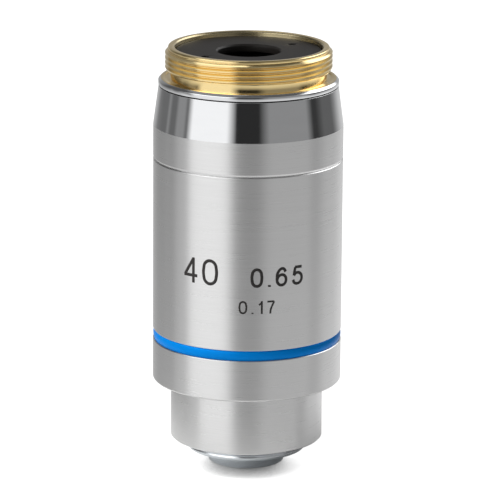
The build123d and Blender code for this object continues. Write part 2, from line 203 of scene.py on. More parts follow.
# Mirror-polished chrome of the cone: sharp reflections that only waver slightly.
chromePolished = turnedMetal("chromePolished", ("#ECEDEF", "#F3F4F5"), spacing=1.6, depth=0.0008,
                             roughness=(0.05, 0.08))
# Satin chrome of the sleeves and nose: light drawn out along the axis by rings too fine to count.
# The rings are drawn 0.14 mm apart, several times their real spacing, so that they show.
chromeSatin = turnedMetal("chromeSatin", ("#D9D9D9", "#E4E4E4"), spacing=0.14, depth=0.0005,
                          roughness=(0.27, 0.32), anisotropy=0.6)
# Turned chrome of the front cap: a finer cut than the satin, so its ring and tip show sharper reflections.
chromeTurned = turnedMetal("chromeTurned", ("#D2D6DA", "#DCE0E4"), spacing=0.12, depth=0.0005,
                           roughness=(0.18, 0.25), anisotropy=0.3)
# Blue enamel filled in to the groove: deep and even, with the soft shine and slight waves of brushed lacquer.
enamelBlue = gritMaterial("enamelBlue", ("#0074C6", "#007ED4"), grain=1.1, depth=0.004,
                          roughness=(0.26, 0.32), metallic=0.15, shine=0.05)
# Black anodised aluminium: matt and faintly warm, with an etched grain.
anodisedBlack = gritMaterial("anodisedBlack", ("#110F0E", "#181513"), grain=0.09, depth=0.004,
                             roughness=(0.42, 0.55), ior=1.38)
# Chemically blackened brass of the cells: dull dark brown.
brassBlackened = gritMaterial("brassBlackened", ("#1A1613", "#241D17"), grain=0.12, depth=0.003,
                              roughness=(0.4, 0.55), metallic=0.4)
# Oiled tool steel of the small screws: mid grey, with a soft turned shine.
steelScrew = turnedMetal("steelScrew", ("#8B8C8E", "#9C9D9F"), spacing=0.1, depth=0.0006,
                         roughness=(0.25, 0.35))
# Drawn spring wire: grey, with a fine grain that softens its shine.
steelSpring = gritMaterial("steelSpring", ("#8E8F90", "#A3A4A5"), grain=0.15, depth=0.001,
                           roughness=(0.25, 0.35), metallic=1.0)
# Ink of the printed numbers: near black and matt.
inkBlack = gritMaterial("inkBlack", ("#171413", "#1E1A18"), grain=0.08, depth=0.001, roughness=(0.45, 0.55))
# Crown and flint glass: clear, the flint a little warmer and more strongly refracting.
glassCrown = coatedGlass("glassCrown", "#F4F8F6", 1.52, 105.0)
glassFlint = coatedGlass("glassFlint", "#F8F6EE", 1.62, 115.0)
print("finishes made")


# Turned pieces. A section lists the (radius, height) corners of the wall in mm.

lathe = {"steps": 256, "edgeBreak": 0.035, "edgeSegments": 2, "edgeAngle": 30}


def selectOnly(piece):
    bpy.ops.object.select_all(action="DESELECT")
    piece.select_set(True)
    bpy.context.view_layer.objects.active = piece


def drawSection(name, section):
    # a circle primitive whose corners are moved to the section
    bpy.ops.object.select_all(action="DESELECT")
    bpy.ops.mesh.primitive_circle_add(vertices=len(section), radius=mm, fill_type="NOTHING")
    piece = bpy.context.object
    piece.name = piece.data.name = name
    for vertex, (radius, height) in zip(piece.data.vertices, section):
        vertex.co = (radius * mm, 0, height * mm)
    return piece


def spinSection(name, section, steps=lathe["steps"]):
    # the section is spun once round the axis
    piece = drawSection(name, section)
    bpy.ops.object.mode_set(mode="EDIT")
    bpy.ops.mesh.select_all(action="SELECT")
    bpy.ops.mesh.spin(steps=steps, angle=2 * pi, center=(0, 0, 0), axis=(0, 0, 1))
    bpy.ops.mesh.select_all(action="SELECT")
    bpy.ops.mesh.remove_doubles(threshold=weld)
    bpy.ops.mesh.normals_make_consistent(inside=False)
    bpy.ops.object.mode_set(mode="OBJECT")
    return piece


def applyModifier(piece, kind, **settings):
    modifier = piece.modifiers.new(kind.title(), kind)
    for key, value in settings.items():
        setattr(modifier, key, value)
    selectOnly(piece)
    bpy.ops.object.modifier_apply(modifier=modifier.name)


def windUp(piece, pitch, turns, steps):
    # winds a section up a helix round the axis
    applyModifier(piece, "SCREW", axis="Z", screw_offset=pitch * mm, iterations=turns, steps=steps,
                  render_steps=steps, use_merge_vertices=False)


def trimEnds(low, high, fill):
    # in edit mode, cuts off what lies under one height and over another
    for height, side in ((low, "clear_inner"), (high, "clear_outer")):
        bpy.ops.mesh.select_all(action="SELECT")
        bpy.ops.mesh.bisect(plane_co=(0, 0, height * mm), plane_no=(0, 0, 1), use_fill=fill, threshold=weld,
                            **{side: True})


def cutAway(piece, cutter):
    applyModifier(piece, "BOOLEAN", operation="DIFFERENCE", object=cutter, solver="EXACT")
    bpy.data.objects.remove(cutter)


def breakEdges(piece, width=lathe["edgeBreak"], angle=lathe["edgeAngle"]):
    # a small round on every turned edge, and flat faces that keep their own shading
    for face in piece.data.polygons:
        face.use_smooth = True
    applyModifier(piece, "BEVEL", width=width * mm, segments=lathe["edgeSegments"], limit_method="ANGLE",
                  angle_limit=radians(angle))
    applyModifier(piece, "WEIGHTED_NORMAL", weight=100, keep_sharp=False)


def smoothUnder(piece, angle):
    selectOnly(piece)
    bpy.ops.object.shade_smooth_by_angle(angle=radians(angle))


def handOver(piece, body, *materials, node=None, slot=None):
    # gives a finished piece its materials and its body, and hides the CAD node that it stands for
    for material in materials:
        piece.data.materials.append(material)
    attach(piece, body)
    if node:
        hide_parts(node)


def turnedPiece(name, section, body, node, slot, *materials, angle=lathe["edgeAngle"]):
    piece = spinSection(name, section)
    breakEdges(piece, angle=angle)
    handOver(piece, body, *materials, node=node, slot=slot)
    return piece


def paintFaces(piece, index, belongs):
    # gives the faces that pass the test the material of that index; radius and height come in mm
    for face in piece.data.polygons:
        x, y, z = face.center
        if belongs(hypot(x, y) / mm, z / mm):
            face.material_index = index


def top(node):
    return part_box(node)[1].z / mm


def bottom(node):
    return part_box(node)[0].z / mm


def reach(node):
    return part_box(node)[1].x / mm


# The mount: a brass tube with the fine thread, its pilot and neck, and the plated flange under them.
# It is blackened up to one radius against stray light, and inside the rim darker and duller: painted shade.
mount = {
    "rimBore": 11.05, "rimChamfer": 0.2, "pilot": 12.05, "pilotChamfer": 0.12, "threadTop": 4.3,
    "threadBottom": 1.2, "threadSeat": 11.9, "neck": 11.7, "reliefDepth": 0.15, "relief": 12.6,
    "flangeChamfer": 0.35, "flangeBottom": -0.95, "spigot": 12.65, "spigotStep": -9.0,
    "spigotEnd": 12.15, "spigotChamfer": 0.2, "springBore": 10.2, "boreStep": -6.0, "lightBore": 10.0,
    "stopSeat": 2.88, "plateSlack": 0.02, "blackenedTo": 10.3, "paintedShadeReach": 0.15,
}


def buildMount():
    rim, low, flange = top("thread_mount"), bottom("thread_mount"), reach("thread_mount")
    section = [
        (mount["rimBore"] + mount["rimChamfer"], rim),
        (mount["pilot"] - mount["pilotChamfer"], rim),
        (mount["pilot"], rim - mount["pilotChamfer"]),
        (mount["pilot"], mount["threadTop"]),
        (mount["threadSeat"], mount["threadTop"]),
        (mount["threadSeat"], mount["threadBottom"]),
        (mount["neck"], mount["threadBottom"]),
        (mount["neck"], -mount["reliefDepth"]),
        (mount["relief"], -mount["reliefDepth"]),
        (mount["relief"], 0),
        (flange - mount["flangeChamfer"], 0),
        (flange, -mount["flangeChamfer"]),
        (flange, mount["flangeBottom"]),
        (mount["spigot"], mount["flangeBottom"]),
        (mount["spigot"], mount["spigotStep"]),
        (mount["spigotEnd"], mount["spigotStep"]),
        (mount["spigotEnd"], low + mount["spigotChamfer"]),
        (mount["spigotEnd"] - mount["spigotChamfer"], low),
        (mount["springBore"], low),
        (mount["springBore"], mount["boreStep"]),
        (mount["lightBore"], mount["boreStep"]),
        (mount["lightBore"], mount["stopSeat"]),
        (mount["rimBore"], mount["stopSeat"]),
        (mount["rimBore"], rim - mount["rimChamfer"]),
    ]
    piece = turnedPiece("mountTube", section, "barrel", "thread_mount", "turned_brass", brassTurned,
                        nickelPlate, brassBlackened, brassPaintedShade)
    plateFrom = (mount["spigot"] + flange) / 2 - mount["plateSlack"]
    plateFoot = mount["flangeBottom"] - mount["plateSlack"]
    paintFaces(piece, 1, lambda radius, height: radius > plateFrom and height > plateFoot)
    paintFaces(piece, 2, lambda radius, height: radius < mount["blackenedTo"])
    # the bore inside the rim gets the darker brass: painted shade of its hollow
    paintFaces(piece, 3, lambda radius, height: (abs(radius - mount["rimBore"]) < mount["paintedShadeReach"]
                                                 and height > mount["stopSeat"]))


# The thread: one tooth of 0.75 mm pitch run up the helix, trimmed to the mount and faded in at both ends.
thread = {"major": 12.5, "core": 12.1, "pitch": 0.75, "crestFlat": 0.22, "rootFlat": 0.08, "flankCuts": 4,
          "leadIn": 0.25, "turns": 7, "steps": 192, "start": -0.02, "weld": 1e-6, "smoothUnder": 20}


def toothProfile():
    flank = (thread["pitch"] - thread["crestFlat"] - thread["rootFlat"]) / 2
    depth = thread["major"] - thread["core"]
    cuts = thread["flankCuts"]
    rise = [(thread["core"] + depth * i / cuts, thread["rootFlat"] / 2 + flank * i / cuts)
            for i in range(cuts + 1)]
    fall = [(radius, thread["pitch"] - height) for radius, height in reversed(rise)]
    return [(thread["core"], 0.0)] + rise + fall + [(thread["core"], thread["pitch"])]


def buildThread():
    low, high = mount["threadBottom"], mount["threadTop"]
    profile = [(radius, thread["start"] + height) for radius, height in toothProfile()]
    piece = drawSection("mountThread", profile)
    ends = (0, len(profile) - 1)
    for vertex in piece.data.vertices:  # the circle is opened between the profile's two ends
        vertex.select = vertex.index in ends
    for edge in piece.data.edges:
        edge.select = set(edge.vertices) == set(ends)
    bpy.ops.object.mode_set(mode="EDIT")
    bpy.ops.mesh.select_mode(type="EDGE")
    bpy.ops.mesh.delete(type="EDGE")
    bpy.ops.object.mode_set(mode="OBJECT")
    windUp(piece, thread["pitch"], thread["turns"], thread["steps"])
    bpy.ops.object.mode_set(mode="EDIT")
    bpy.ops.mesh.select_all(action="SELECT")
    bpy.ops.mesh.remove_doubles(threshold=thread["weld"])
    trimEnds(low, high, fill=False)
    bpy.ops.object.mode_set(mode="OBJECT")
    for vertex in piece.data.vertices:  # the crests fade in over the lead-in chamfers
        x, y, z = vertex.co
        toEnd = min(z / mm - low, high - z / mm)
        limit = thread["core"] + (thread["major"] - thread["core"]) * min(1, max(0, toEnd) / thread["leadIn"])
        shrink = min(1, limit * mm / hypot(x, y))
        vertex.co = (x * shrink, y * shrink, z)
    bpy.ops.object.mode_set(mode="EDIT")
    bpy.ops.mesh.select_mode(type="EDGE")
    bpy.ops.mesh.select_all(action="DESELECT")
    bpy.ops.mesh.select_non_manifold()
    bpy.ops.mesh.extrude_region_move()
    bpy.ops.object.mode_set(mode="OBJECT")
    for vertex in piece.data.vertices:  # both open edges go in to the seat of the mount
        if vertex.select:
            shrink = mount["threadSeat"] * mm / hypot(vertex.co.x, vertex.co.y)
            vertex.co.x *= shrink
            vertex.co.y *= shrink
    bpy.ops.object.mode_set(mode="EDIT")
    bpy.ops.mesh.bridge_edge_loops()
    bpy.ops.mesh.select_all(action="SELECT")
    bpy.ops.mesh.normals_make_consistent(inside=False)
    bpy.ops.object.mode_set(mode="OBJECT")
    smoothUnder(piece, thread["smoothUnder"])
    handOver(piece, "barrel", brassTurned, slot="turned_brass")


# The black stop ring in the rim, with two holes for a pin spanner. The drill is several times its thickness.
stopRing = {"aperture": 4.7, "apertureChamfer": 0.25, "edgeChamfer": 0.15, "holeRadius": 0.6,
            "holeOffset": 8.1, "holeAngles": (37.0, 217.0), "holeCorners": 48, "drillShare": 4,
            "edgeBreak": 0.03}


def buildStopRing():
    low, high, edge = bottom("rear_stop_ring"), top("rear_stop_ring"), reach("rear_stop_ring")
    section = [
        (stopRing["aperture"], low),
        (edge, low),
        (edge, high - stopRing["edgeChamfer"]),
        (edge - stopRing["edgeChamfer"], high),
        (stopRing["aperture"] + stopRing["apertureChamfer"], high),
        (stopRing["aperture"], high - stopRing["apertureChamfer"]),
    ]
    piece = spinSection("stopRing", section)
    for angle in stopRing["holeAngles"]:
        place = Matrix.Rotation(radians(angle), 3, "Z") @ Vector((stopRing["holeOffset"], 0, high))
        bpy.ops.object.select_all(action="DESELECT")
        bpy.ops.mesh.primitive_cylinder_add(
            vertices=stopRing["holeCorners"], radius=stopRing["holeRadius"] * mm,
            depth=stopRing["drillShare"] * (high - low) * mm, location=place * mm)
        cutAway(piece, bpy.context.object)
    breakEdges(piece, stopRing["edgeBreak"])
    handOver(piece, "barrel", anodisedBlack, node="rear_stop_ring", slot="black_anodised")


# The upper sleeve: a seam under the flange painted black as painted shadow of the gap, the polished cone and
# the satin band.
upperSleeve = {"bore": 12.7, "seam": 13.15, "coneTop": -1.15, "coneTopRadius": 13.45, "coneBottom": -7.05,
               "lowerBore": 13.0, "boreStep": -9.0, "chamferHeight": 0.35, "chamferDepth": 0.15,
               "edgeAngle": 5, "satinDepth": 0.2, "paintedShadowSlack": 0.01, "paintedShadowTo": 13.39}


def buildUpperSleeve():
    low, high, wall = bottom("upper_sleeve"), top("upper_sleeve"), reach("upper_sleeve")
    section = [
        (upperSleeve["bore"], high),
        (upperSleeve["seam"], high),
        (upperSleeve["seam"], upperSleeve["coneTop"]),
        (upperSleeve["coneTopRadius"], upperSleeve["coneTop"]),
        (wall, upperSleeve["coneBottom"]),
        (wall, low + upperSleeve["chamferHeight"]),
        (wall - upperSleeve["chamferDepth"], low),
        (upperSleeve["lowerBore"], low),
        (upperSleeve["lowerBore"], upperSleeve["boreStep"]),
        (upperSleeve["bore"], upperSleeve["boreStep"]),
    ]
    piece = turnedPiece("coneSleeve", section, "barrel", "upper_sleeve", "polished_chrome", chromePolished,
                        chromeSatin, anodisedBlack, angle=upperSleeve["edgeAngle"])
    satinTop, satinFrom = upperSleeve["coneBottom"], wall - upperSleeve["satinDepth"]
    paintedShadowFloor = upperSleeve["coneTop"] - upperSleeve["paintedShadowSlack"]
    paintFaces(piece, 1, lambda radius, height: height < satinTop and radius > satinFrom)
    # the seam's faces get the black finish: a painted shadow of the gap under the flange
    paintFaces(piece, 2, lambda radius, height: height > paintedShadowFloor and radius < upperSleeve["paintedShadowTo"])


# The main sleeve with the groove for the colour ring. It stands 0.005 mm under the printed numbers.
mainSleeve = {"bore": 13.0, "topChamfer": 0.12, "grooveTop": -38.6, "grooveBottom": -40.1,
              "grooveRadius": 13.75, "grooveChamfer": 0.1, "bottomChamfer": 0.25, "lipBore": 11.65,
              "lipTop": -44.95, "inkDepth": 0.005}


def buildMainSleeve():
    low, high = bottom("main_sleeve"), top("main_sleeve")
    wall = reach("main_sleeve") - mainSleeve["inkDepth"]
    shoulder = wall - mainSleeve["grooveChamfer"]
    section = [
        (mainSleeve["bore"], high),
        (wall - mainSleeve["topChamfer"], high),
        (wall, high - mainSleeve["topChamfer"]),
        (wall, mainSleeve["grooveTop"] + mainSleeve["grooveChamfer"]),
        (shoulder, mainSleeve["grooveTop"]),
        (mainSleeve["grooveRadius"], mainSleeve["grooveTop"]),
        (mainSleeve["grooveRadius"], mainSleeve["grooveBottom"]),
        (shoulder, mainSleeve["grooveBottom"]),
        (wall, mainSleeve["grooveBottom"] - mainSleeve["grooveChamfer"]),
        (wall, low + mainSleeve["bottomChamfer"]),
        (wall - mainSleeve["bottomChamfer"], low),
        (mainSleeve["lipBore"], low),
        (mainSleeve["lipBore"], mainSleeve["lipTop"]),
        (mainSleeve["bore"], mainSleeve["lipTop"]),
    ]
    turnedPiece("mainSleeve", section, "barrel", "main_sleeve", "satin_chrome", chromeSatin)


# The colour ring: an enamel bead with a crowned face.
colourRing = {"inner": 13.8, "edge": 14.03, "crownCuts": 10}


def buildColourRing():
    low, high, crown = bottom("colour_band"), top("colour_band"), reach("colour_band")
    half, rise = (high - low) / 2, crown - colourRing["edge"]
    curve = (half**2 + rise**2) / (2 * rise)
    heights = [low + (high - low) * i / colourRing["crownCuts"] for i in range(colourRing["crownCuts"] + 1)]
    face = [(crown - curve + sqrt(curve**2 - (z - low - half)**2), z) for z in heights]
    section = [(colourRing["inner"], high), (colourRing["inner"], low)] + face
    turnedPiece("colourRing", section, "barrel", "colour_band", "blue_enamel", enamelBlue)


# The spring of the carriage: round wire on a helix, both ends ground flat.
spring = {"wire": 1.0, "meanRadius": 11.45, "turns": 5, "wireCorners": 14, "stepsPerTurn": 64,
          "smoothUnder": 40}


def buildSpring():
    low, high = bottom("return_spring"), top("return_spring")
    pitch = (high - low) / spring["turns"]
    wireRadius = spring["wire"] / 2
    bpy.ops.object.select_all(action="DESELECT")
    bpy.ops.mesh.primitive_circle_add(vertices=spring["wireCorners"], radius=wireRadius * mm,
                                      rotation=(pi / 2, 0, 0),
                                      location=(spring["meanRadius"] * mm, 0, (low - wireRadius) * mm))
    piece = bpy.context.object
    piece.name = piece.data.name = "carriageSpring"
    bpy.ops.object.transform_apply(location=True, rotation=True, scale=True)
    windUp(piece, pitch, spring["turns"] + 1, spring["stepsPerTurn"])
    bpy.ops.object.mode_set(mode="EDIT")
    bpy.ops.mesh.select_all(action="SELECT")
    bpy.ops.mesh.remove_doubles(threshold=weld)
    trimEnds(low, high, fill=True)
    bpy.ops.mesh.select_all(action="SELECT")
    bpy.ops.mesh.normals_make_consistent(inside=False)
    bpy.ops.object.mode_set(mode="OBJECT")
    smoothUnder(piece, spring["smoothUnder"])
    handOver(piece, "barrel", steelSpring, node="return_spring", slot="spring_steel")
    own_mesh(piece)


# The nose: a tube with the slot of its guide screw and three tapped holes, all of them inside the sleeve.
# Its wall is split above the sleeve's mouth, so that these cuts leave the part that shows smooth.
nose = {"bore": 9.9, "wall": 11.5, "bottomChamfer": 0.2, "flangeBottom": -23.2, "splitAbove": 1,
        "slotWidth": 1.4, "slotTop": -32.3, "slotBottom": -36.2, "slotCutterDepth": 4,
        "screwHoleRadius": 0.83, "screwHoleAngles": (60, 180, 300), "screwHoleCorners": 32, "drillLength": 6}


def buildNose():
    low, high, flange = bottom("nose_barrel"), top("nose_barrel"), reach("nose_barrel")
    hidden = bottom("main_sleeve") + nose["splitAbove"]
    section = [
        (nose["bore"], low),
        (nose["wall"] - nose["bottomChamfer"], low),
        (nose["wall"], low + nose["bottomChamfer"]),
        (nose["wall"], hidden),
        (nose["wall"], nose["flangeBottom"]),
        (flange, nose["flangeBottom"]),
        (flange, high),
        (nose["bore"], high),
        (nose["bore"], hidden),
    ]
    piece = spinSection("noseTube", section)
    slotMiddle = (nose["slotTop"] + nose["slotBottom"]) / 2
    bpy.ops.object.select_all(action="DESELECT")
    bpy.ops.mesh.primitive_cube_add(size=mm, location=(nose["wall"] * mm, 0, slotMiddle * mm))
    slotCutter = bpy.context.object
    slotCutter.scale = (nose["slotCutterDepth"], nose["slotWidth"], nose["slotTop"] - nose["slotBottom"])
    cutAway(piece, slotCutter)
    screwHeight = (top("centring_screws") + bottom("centring_screws")) / 2
    for angle in nose["screwHoleAngles"]:
        place = Matrix.Rotation(radians(angle), 3, "Z") @ Vector((nose["wall"], 0, screwHeight))
        bpy.ops.object.select_all(action="DESELECT")
        bpy.ops.mesh.primitive_cylinder_add(
            vertices=nose["screwHoleCorners"], radius=nose["screwHoleRadius"] * mm,
            depth=nose["drillLength"] * mm, rotation=(0, pi / 2, radians(angle)), location=place * mm)
        cutAway(piece, bpy.context.object)
    breakEdges(piece)
    handOver(piece, "nose", chromeSatin, node="nose_barrel", slot="satin_chrome")


# The front cap: a flat cone, a raised ring and the tip with its countersunk window.
frontCap = {"tipTaper": 0.6, "tipRadius": 6.3, "tipHeight": 2.15, "tipChamfer": 0.1, "ringRadius": 9.15,
            "ringUndercut": 0.3, "ringUndercutHeight": 0.45, "ringBevel": 0.15, "ringBevelHeight": 0.3,
            "opening": 1.4, "lip": 0.25, "lensBore": 2.18, "lensBoreTop": 1.85, "floorRadius": 3.63,
            "floorHeight": 2.65, "cellBore": 5.53}


def buildFrontCap():
    low, high, spigot = bottom("front_cap"), top("front_cap"), reach("meniscus_cell")
    coneTop = bottom("nose_barrel")
    tipTop = low + frontCap["tipHeight"]
    ringCrest = tipTop + frontCap["ringUndercutHeight"]
    ring = frontCap["ringRadius"]
    tipFoot = frontCap["tipRadius"] - frontCap["tipTaper"]
    section = [
        (frontCap["opening"] + frontCap["lip"], low),
        (tipFoot - frontCap["tipChamfer"], low),
        (tipFoot, low + frontCap["tipChamfer"]),
        (frontCap["tipRadius"], tipTop),
        (ring - frontCap["ringUndercut"], tipTop),
        (ring, ringCrest),
        (ring - frontCap["ringBevel"], ringCrest + frontCap["ringBevelHeight"]),
        (reach("front_cap"), coneTop),
        (spigot, coneTop),
        (spigot, high),
        (frontCap["cellBore"], high),
        (frontCap["cellBore"], low + frontCap["floorHeight"]),
        (frontCap["floorRadius"], low + frontCap["floorHeight"]),
        (frontCap["lensBore"], low + frontCap["lensBoreTop"]),
        (frontCap["lensBore"], low + frontCap["lip"]),
        (frontCap["opening"], low + frontCap["lip"]),
    ]
    turnedPiece("frontCap", section, "nose", "front_cap", "satin_chrome", chromeTurned)


# Lenses: both faces of each as shares of its radius, positive where the middle stands lower than the rim.
# hollowShare is how far the hollow face of the meniscus reaches out.
lensFaces = {
    "front_lens": (None, -1.16, glassCrown, "crown_glass"),
    "meniscus_lens": (-1.6657, -1.278, glassCrown, "crown_glass"),
    "doublet_a_crown": (1.607, -1.518, glassCrown, "crown_glass"),
    "doublet_a_flint": (-1.518, -5.0, glassFlint, "flint_glass"),
    "doublet_b_crown": (2.12, -1.44, glassCrown, "crown_glass"),
    "doublet_b_flint": (-1.44, -6.0, glassFlint, "flint_glass"),
    "rear_crown": (2.1, -2.58, glassCrown, "crown_glass"),
    "rear_flint": (-2.58, 1.94, glassFlint, "flint_glass"),
}
lensShape = {"arcCuts": 16, "steps": 96, "hollowShare": 0.9306, "smoothUnder": 25}


def sag(curve, radius):
    # how far a face of that curve rises from its middle to the given radius
    if curve is None:
        return 0.0
    return (abs(curve) - sqrt(curve**2 - radius**2)) * (1 if curve > 0 else -1)


def buildLens(node):
    lowShare, highShare, material, slot = lensFaces[node]
    low, high, radius = bottom(node), top(node), reach(node)
    lowCurve = None if lowShare is None else lowShare * radius
    highCurve = highShare * radius
    lowReach = radius * lensShape["hollowShare"] if node == "meniscus_lens" else radius
    lowMiddle = low - min(0, sag(lowCurve, lowReach))
    highMiddle = high - max(0, sag(highCurve, radius))
    shares = [i / lensShape["arcCuts"] for i in range(lensShape["arcCuts"] + 1)]
    section = [(lowReach * s, lowMiddle + sag(lowCurve, lowReach * s)) for s in shares]
    if lowReach < radius:
        section.append((radius, low))
    section += [(radius * s, highMiddle + sag(highCurve, radius * s)) for s in reversed(shares)]
    piece = spinSection("lens_" + node, section, lensShape["steps"])
    smoothUnder(piece, lensShape["smoothUnder"])
    handOver(piece, "nose", material, node=node, slot=slot)


# Plain numbers printed on the sleeve. left is the arc from the front, and base the height of the line, in mm.
numbers = [
    {"text": "40", "height": 3.99, "left": -10.25, "base": -28.77, "gap": 0.75, "stroke": 0.48},
    {"text": "0.65", "height": 2.97, "left": 0.51, "base": -28.82, "gap": 0.72, "stroke": 0.45},
    {"text": "0.17", "height": 2.02, "left": -1.23, "base": -32.85, "gap": 0.65, "stroke": 0.29},
]
# Each character: its width as a share of the height, and its pen strokes in a box one wide and one high.
characters = {
    "0": (0.63, [("ring", (0.5, 0), (0.86, 0.1), (1, 0.36), (1, 0.64), (0.86, 0.9), (0.5, 1), (0.14, 0.9),
                  (0, 0.64), (0, 0.36), (0.14, 0.1))]),
    "1": (0.36, [("line", (1, -0.07), (1, 1.07)), ("bow", (1, 1), (0.6, 0.83), (0, 0.72))]),
    "4": (0.65, [("line", (0.74, -0.05), (0.74, 1.05)), ("line", (0.74, 1), (0, 0.27)),
                 ("line", (-0.07, 0.27), (1.07, 0.27))]),
    "5": (0.65, [("line", (1, 1), (0.2, 1)), ("line", (0.24, 1), (0.08, 0.5)),
                 ("bow", (0.08, 0.5), (0.3, 0.63), (0.55, 0.66), (0.87, 0.56), (1, 0.34), (0.86, 0.1),
                  (0.5, 0), (0.14, 0.07), (0, 0.25))]),
    "6": (0.63, [("bow", (0.94, 0.79), (0.8, 0.95), (0.54, 1), (0.14, 0.82), (0, 0.45), (0.12, 0.12),
                  (0.5, 0), (0.87, 0.1), (1, 0.32), (0.87, 0.54), (0.52, 0.63), (0.17, 0.53), (0.02, 0.36))]),
    "7": (0.61, [("line", (-0.12, 1), (1, 1)), ("bow", (1, 1), (0.64, 0.6), (0.43, 0.28), (0.36, -0.07))]),
    ".": (0.0, [("line", (0, -0.06), (0, 0.06))]),
}
ink = {"thickness": 0.01, "cut": 0.3, "curveSteps": 6, "penSteps": 1}


def drawStroke(curve, points, left, width, line):
    # one pen stroke as a spline; the pen's half width keeps it inside the character's box
    kind, *corners = points
    pen = line["stroke"]
    spline = curve.splines.new("BEZIER")
    spline.bezier_points.add(len(corners) - 1)
    spline.use_cyclic_u = kind == "ring"
    for point, (x, y) in zip(spline.bezier_points, corners):
        point.handle_left_type = point.handle_right_type = "VECTOR" if kind == "line" else "AUTO"
        point.co = Vector((left + pen / 2 + x * (width - pen), pen / 2 + y * (line["height"] - pen), 0)) * mm


def printNumber(line, index):
    # strokes with a round pen are made a mesh, cut in narrow strips, pressed flat and laid round the sleeve
    radius = reach("main_sleeve")
    bpy.ops.object.select_all(action="DESELECT")
    bpy.ops.curve.primitive_bezier_curve_add(location=(0, 0, 0))
    piece = bpy.context.object
    piece.name = "number_" + str(index)
    curve = piece.data
    curve.splines.clear()
    curve.resolution_u = ink["curveSteps"]
    curve.bevel_depth = line["stroke"] / 2 * mm
    curve.bevel_resolution = ink["penSteps"]
    curve.use_fill_caps = True
    left = 0.0
    for character in line["text"]:
        share, strokes = characters[character]
        width = max(share * line["height"], line["stroke"])
        for points in strokes:
            drawStroke(curve, points, left, width, line)
        left += width + line["gap"]
    bpy.ops.object.convert(target="MESH")
    piece = bpy.context.object
    piece.data.name = piece.name
    bpy.ops.object.mode_set(mode="EDIT")
    for i in range(1, int(left / ink["cut"]) + 1):
        bpy.ops.mesh.select_all(action="SELECT")
        bpy.ops.mesh.bisect(plane_co=(i * ink["cut"] * mm, 0, 0), plane_no=(1, 0, 0), threshold=weld)
    bpy.ops.mesh.select_all(action="SELECT")
    bpy.ops.mesh.faces_shade_smooth()
    bpy.ops.object.mode_set(mode="OBJECT")
    flat = ink["thickness"] / line["stroke"]
    for vertex in piece.data.vertices:
        x, y, z = vertex.co / mm
        angle = (line["left"] + x) / radius
        out = radius - ink["thickness"] / 2 + z * flat
        vertex.co = Vector((out * sin(angle), -out * cos(angle), line["base"] + y)) * mm
    handOver(piece, "barrel", inkBlack)


buildMount()
buildThread()
print("mount built")
buildStopRing()
buildUpperSleeve()
buildMainSleeve()
buildColourRing()
buildSpring()
print("sleeves built")
buildNose()
buildFrontCap()
for lensNode in lensFaces:
    buildLens(lensNode)
print("nose and lenses built")
for lineIndex, numberLine in enumerate(numbers):
    printNumber(numberLine, lineIndex)
print("numbers printed")

# Pieces of the frame that keep their own shape get their finish in their material slots.
keptFinishes = {
    "guide_tube": brassTurned, "parfocal_ring": brassTurned, "guide_screw": steelScrew,
    "centring_screws": steelScrew, "meniscus_cell": brassBlackened, "spacer_a": brassBlackened,
    "spacer_b": brassBlackened, "stack_lock_ring": brassBlackened,
}
for pair in ("doublet_a", "doublet_b", "rear"):
    for role in ("cell", "keeper"):
        keptFinishes[pair + "_" + role] = brassBlackened
for nodeName, finish in keptFinishes.items():
    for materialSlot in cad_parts[nodeName].material_slots:
        materialSlot.material = finish
print("kept pieces finished")


# The studio: white paper under the object, one soft lamp, and light and dark cards that the metal mirrors.
# The cards stand in four rows: table, walls, upper walls and ceiling. Each is (from, to, level) in degrees
# round the object, 0 on the camera's side and 90 on its right. Between two cards the level fades, and so it
# does between two rows, over the heights in wallFoot, wallTop and ceilingFrom.
studio = {
    "tableCards": [
        (-180, -152, 0.7), (-132, -104, 0.66), (-94, -80, 0.86), (-68, -28, 1.0), (-12, 10, 0.68),
        (26, 70, 0.79), (80, 96, 0.84), (116, 180, 1.15),
    ],
    "wallCards": [
        (-180, -160, 0.4), (-143, -119, 0.15), (-115, -114, 0.25), (-109, -101, 0.14), (-96, -85, 0.27),
        (-82, -80, 0.16), (-72, -26, 1.02), (-14, 13, 0.025), (26, 76, 0.27), (86, 92, 0.04),
        (105, 124, 0.12), (150, 180, 0.45),
    ],
    "upperCards": [
        (-180, -150, 0.28), (-138, -96, 0.1), (-76, -26, 2.5), (-12, 12, 0.3), (26, 84, 0.4),
        (104, 148, 2.4), (158, 180, 0.28),
    ],
    "ceilingCards": [(-180, -179, 0.12), (-174, -143, 1.4), (-130, -60, 0.3), (-15, 180, 0.12)],
    "wallFoot": (-24.0, -6.0), "wallTop": (7.0, 17.0), "ceilingFrom": (45.0, 50.0), "plainLevel": 0.34,
}


def cardRamp(tree, place, cards):
    # a level round the horizon, from a row of cards
    ramp = addNode(tree, "ShaderNodeValToRGB", {"Fac": place})
    stops = [(angle, level) for start, end, level in cards for angle in (start, end)]
    elements = ramp.color_ramp.elements
    elements.remove(elements[1])
    for index, (angle, level) in enumerate(stops):
        stop = elements.new((angle + 180) / 360) if index else elements[0]
        stop.position = (angle + 180) / 360
        stop.color = (level, level, level, 1)
    return ramp.outputs["Color"]


def blendUp(tree, height, edges, lower, upper):
    # goes over from one level to the other between two heights in degrees
    share = addNode(tree, "ShaderNodeMapRange", {"Value": height, "From Min": sin(radians(edges[0])),
                                                 "From Max": sin(radians(edges[1]))}).outputs[0]
    return addNode(tree, "ShaderNodeMix", {0: share, 2: lower, 3: upper}, data_type="FLOAT").outputs[0]


